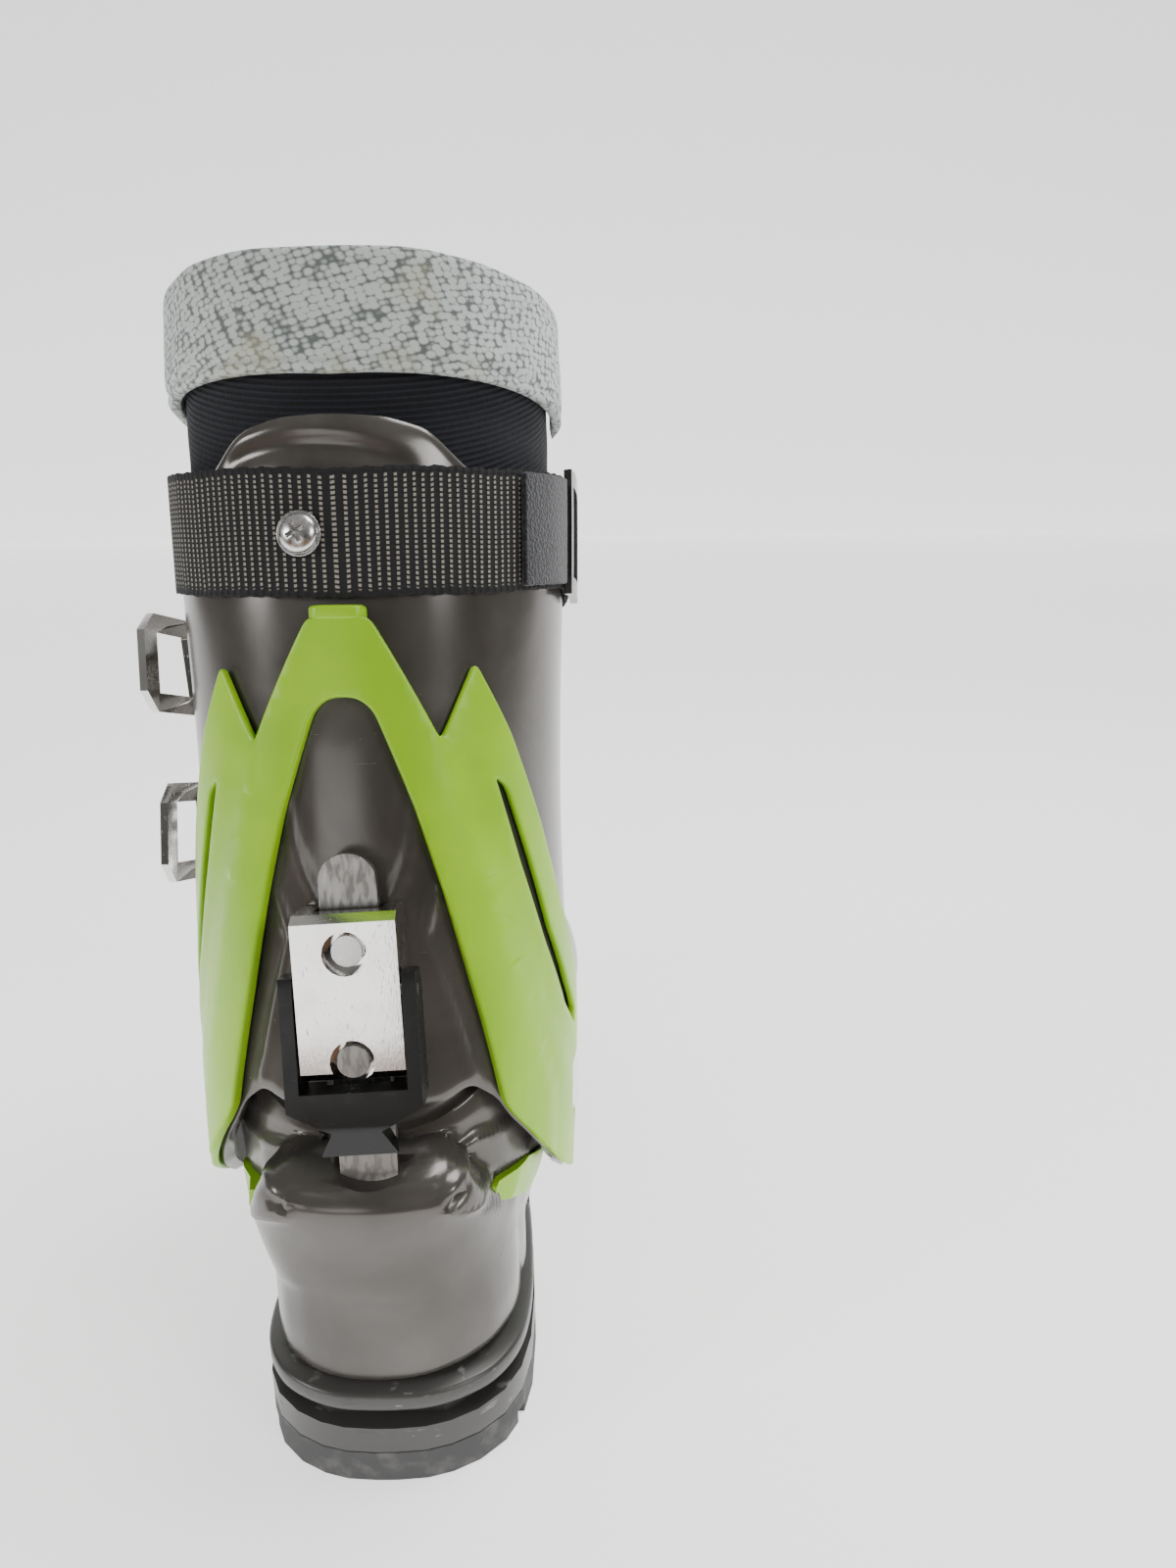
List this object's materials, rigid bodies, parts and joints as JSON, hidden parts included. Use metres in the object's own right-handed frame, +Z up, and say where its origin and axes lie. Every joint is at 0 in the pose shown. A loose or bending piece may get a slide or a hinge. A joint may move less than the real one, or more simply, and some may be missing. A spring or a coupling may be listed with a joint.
{
  "type": "alpine touring boot",
  "caption": "Left alpine touring ski boot with a hinged cuff, rear ski and walk lock, lever buckles, power strap, treaded sole and removable liner.",
  "frame": {"origin": "on the floor under the centre of the heel, on the tread", "axes": "+Z up, +Y towards the toe, +X towards the inner side of this left boot, -X towards its buckle levers"},
  "size_m": [0.1355, 0.305, 0.329],
  "materials": {
    "shell": "satin translucent injection-moulded plastic with a faint mould line and fine scratches",
    "lime": "satin bright lime plastic",
    "sole_plastic": "dull grey plastic",
    "rubber": "matte dark grey rubber",
    "tread": "matte black rubber",
    "black_plastic": "glossy black plastic",
    "smoke_plastic": "smoky clear plastic",
    "webbing": "black webbing with pale vertical ribs",
    "velcro": "navy-black hook and loop",
    "knit_mesh": "pale mint-grey diagonal knit",
    "liner_fabric": "navy-black ribbed stretch fabric",
    "foam": "dark foam",
    "steel": "zinc-plated steel",
    "alloy": "polished chromed alloy"
  },
  "bodies": {
    "boot": {"lower_shell": "shell", "sole_frame": "sole_plastic", "outsole": "rubber", "tread_heel": "tread", "tread_toe": "tread", "ankle_inlay_medial": "lime", "ankle_inlay_lateral": "lime", "lock_bar_pin": "steel", "instep_flap": "shell", "boot_board": "black_plastic", "insole": "foam", "liner_foot": "liner_fabric", "pivot_rivet_medial": "black_plastic", "pivot_rivet_lateral": "black_plastic", "instep_buckle_base": "alloy", "instep_buckle_lever_pin": "steel", "instep_buckle_ladder": "alloy", "instep_buckle_rivet": "steel", "toe_buckle_base": "alloy", "toe_buckle_lever_pin": "steel", "toe_buckle_ladder": "alloy", "toe_buckle_rivet": "steel"},
    "bar": {"walk_bar": "steel"},
    "cuff": {"cuff_shell": "shell", "cuff_exoskeleton": "lime", "walk_bracket": "alloy", "walk_screw": "steel", "walk_lever_pin": "steel", "bracket_screw_medial": "steel", "bracket_screw_lateral": "steel", "power_strap": "webbing", "strap_velcro": "velcro", "strap_ring": "smoke_plastic", "strap_screw": "steel", "strap_washer": "steel", "liner_leg": "liner_fabric", "liner_tongue": "liner_fabric", "liner_collar_pad": "knit_mesh", "upper_buckle_base": "alloy", "upper_buckle_lever_pin": "steel", "upper_buckle_ladder": "alloy", "upper_buckle_rivet": "steel", "middle_buckle_base": "alloy", "middle_buckle_lever_pin": "steel", "middle_buckle_ladder": "alloy", "middle_buckle_rivet": "steel"},
    "lever": {"walk_lever": "black_plastic"},
    "lock_pin": {"lock_pin": "steel"},
    "upper_buckle_lever_body": {"upper_buckle_lever": "alloy"},
    "upper_buckle_bail_body": {"upper_buckle_bail": "steel"},
    "middle_buckle_lever_body": {"middle_buckle_lever": "alloy"},
    "middle_buckle_bail_body": {"middle_buckle_bail": "steel"},
    "instep_buckle_lever_body": {"instep_buckle_lever": "alloy"},
    "instep_buckle_bail_body": {"instep_buckle_bail": "steel"},
    "toe_buckle_lever_body": {"toe_buckle_lever": "alloy"},
    "toe_buckle_bail_body": {"toe_buckle_bail": "steel"}
  },
  "joints": [
    {"name": "cuff_pivot", "type": "hinge", "parent": "boot", "child": "cuff", "pos_m": [0, 0.03, 0.086], "axis": [1, 0, 0], "range_deg": [-6, 10]},
    {"name": "walk_bar_hinge", "type": "hinge", "parent": "boot", "child": "bar", "pos_m": [-0.0005, -0.029, 0.084], "axis": [0.9989, 0.0092, 0.0465], "range_deg": [-9, 9]},
    {"name": "walk_lever_hinge", "type": "hinge", "parent": "cuff", "child": "lever", "pos_m": [-0.00333, -0.02451, 0.14401], "axis": [-0.9989, -0.0092, -0.0465], "range_deg": [0, 95]},
    {"name": "lock_pin_slide", "type": "slide", "parent": "cuff", "child": "lock_pin", "axis": [0, -0.9808, 0.1951], "range_m": [0, 0.0026]},
    {"name": "upper_buckle_lever_hinge", "type": "hinge", "parent": "cuff", "child": "upper_buckle_lever_body", "pos_m": [-0.05697, 0.10346, 0.2036], "axis": [0.0545, -0.2928, -0.9546], "range_deg": [0, 100]},
    {"name": "upper_buckle_bail_hinge", "type": "hinge", "parent": "upper_buckle_lever_body", "child": "upper_buckle_bail_body", "pos_m": [-0.06153, 0.09441, 0.20612], "axis": [0.0545, -0.2928, -0.9546], "range_deg": [-116, 0]},
    {"name": "middle_buckle_lever_hinge", "type": "hinge", "parent": "cuff", "child": "middle_buckle_lever_body", "pos_m": [-0.05453, 0.08986, 0.1528], "axis": [-0.0021, -0.2576, -0.9663], "range_deg": [0, 100]},
    {"name": "middle_buckle_bail_hinge", "type": "hinge", "parent": "middle_buckle_lever_body", "child": "middle_buckle_bail_body", "pos_m": [-0.05893, 0.08067, 0.15526], "axis": [-0.0021, -0.2576, -0.9663], "range_deg": [-116, 0]},
    {"name": "instep_buckle_lever_hinge", "type": "hinge", "parent": "boot", "child": "instep_buckle_lever_body", "pos_m": [-0.054, 0.09609, 0.08715], "axis": [-0.0972, 0.7881, -0.6078], "range_deg": [0, 100]},
    {"name": "instep_buckle_bail_hinge", "type": "hinge", "parent": "instep_buckle_lever_body", "child": "instep_buckle_bail_body", "pos_m": [-0.05296, 0.09036, 0.07956], "axis": [-0.0972, 0.7881, -0.6078], "range_deg": [-116, 0]},
    {"name": "toe_buckle_lever_hinge", "type": "hinge", "parent": "boot", "child": "toe_buckle_lever_body", "pos_m": [-0.05627, 0.16683, 0.06707], "axis": [-0.1876, 0.636, -0.7485], "range_deg": [0, 100]},
    {"name": "toe_buckle_bail_hinge", "type": "hinge", "parent": "toe_buckle_lever_body", "child": "toe_buckle_bail_body", "pos_m": [-0.05551, 0.15965, 0.06079], "axis": [-0.1876, 0.636, -0.7485], "range_deg": [-116, 0]}
  ],
  "couplings": [
    {"joint": "walk_bar_hinge", "follows": "cuff_pivot", "ratio": 0.77},
    {"joint": "lock_pin_slide", "follows": "walk_lever_hinge", "m_per_rad": 0.00155},
    {"joint": "upper_buckle_bail_hinge", "follows": "upper_buckle_lever_hinge", "ratio": -1.15},
    {"joint": "middle_buckle_bail_hinge", "follows": "middle_buckle_lever_hinge", "ratio": -1.15},
    {"joint": "instep_buckle_bail_hinge", "follows": "instep_buckle_lever_hinge", "ratio": -1.15},
    {"joint": "toe_buckle_bail_hinge", "follows": "toe_buckle_lever_hinge", "ratio": -1.15}
  ]
}
